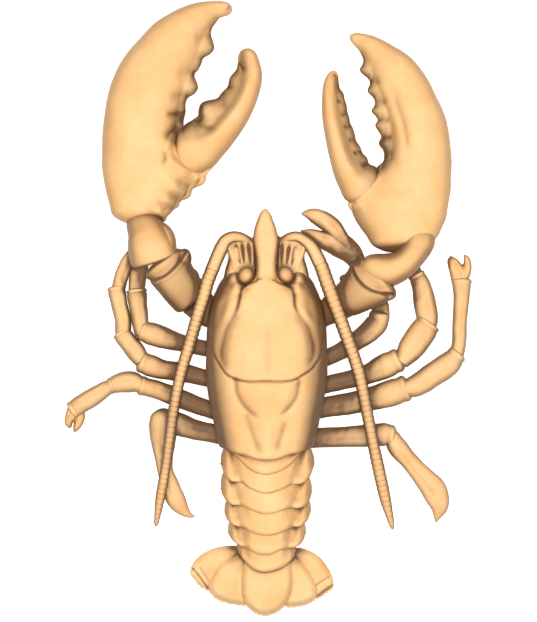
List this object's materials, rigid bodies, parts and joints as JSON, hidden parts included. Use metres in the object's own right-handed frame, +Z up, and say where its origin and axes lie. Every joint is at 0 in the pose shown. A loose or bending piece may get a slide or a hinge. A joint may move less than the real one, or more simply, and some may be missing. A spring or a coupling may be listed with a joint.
{
  "type": "whole cooked lobster",
  "caption": "Whole cooked lobster lying on its belly, claws forward and slightly open, antennae swept back along the body, legs spread, tail stretched out with its fan open.",
  "frame": {"origin": "on the table under the middle of the whole outline", "axes": "+X to the lobster's right as it lies belly down, +Y from tail to head, +Z up"},
  "size_m": [0.2576, 0.3944, 0.0624],
  "materials": {
    "shell": "satin",
    "pale_shell": "satin",
    "eye": "satin"
  },
  "bodies": {
    "root": {"carapace": "shell", "belly_plate": "pale_shell", "left_eye": "eye", "right_eye": "eye", "tail_ring_1": "shell", "tail_ring_2": "shell", "tail_ring_3": "shell", "tail_ring_4": "shell", "tail_ring_5": "shell", "tail_ring_6": "shell", "telson": "shell", "left_inner_fan": "shell", "right_inner_fan": "shell", "left_outer_fan": "shell", "right_outer_fan": "shell", "left_claw_finger": "shell", "left_claw_palm": "shell", "left_claw_wrist": "shell", "left_claw_arm": "shell", "left_claw_hip": "pale_shell", "right_claw_finger": "shell", "right_claw_palm": "shell", "right_claw_wrist": "shell", "right_claw_arm": "shell", "right_claw_hip": "pale_shell", "left_leg_1_upper": "shell", "left_leg_1_knee": "shell", "left_leg_1_lower": "shell", "left_leg_2_upper": "shell", "left_leg_2_knee": "shell", "left_leg_2_lower": "shell", "left_leg_2_toe": "shell", "left_leg_3_upper": "shell", "left_leg_3_knee": "shell", "left_leg_3_lower": "shell", "left_leg_3_toe": "shell", "left_leg_4_upper": "shell", "left_leg_4_toe": "shell", "right_leg_1_upper": "shell", "right_leg_1_knee": "shell", "right_leg_1_pincer": "shell", "right_leg_1_toe": "shell", "right_leg_2_upper": "shell", "right_leg_2_knee": "shell", "right_leg_2_lower": "shell", "right_leg_2_toe": "shell", "right_leg_3_upper": "shell", "right_leg_3_knee": "shell", "right_leg_3_lower": "shell", "right_leg_3_pincer": "shell", "right_leg_4_upper": "shell", "right_leg_4_toe": "shell", "left_antenna": "shell", "left_antenna_stalk": "shell", "left_antennule": "shell", "left_mouth_leg": "pale_shell", "right_antenna": "shell", "right_antenna_stalk": "shell", "right_antennule": "shell", "right_mouth_leg": "pale_shell"}
  },
  "joints": []
}
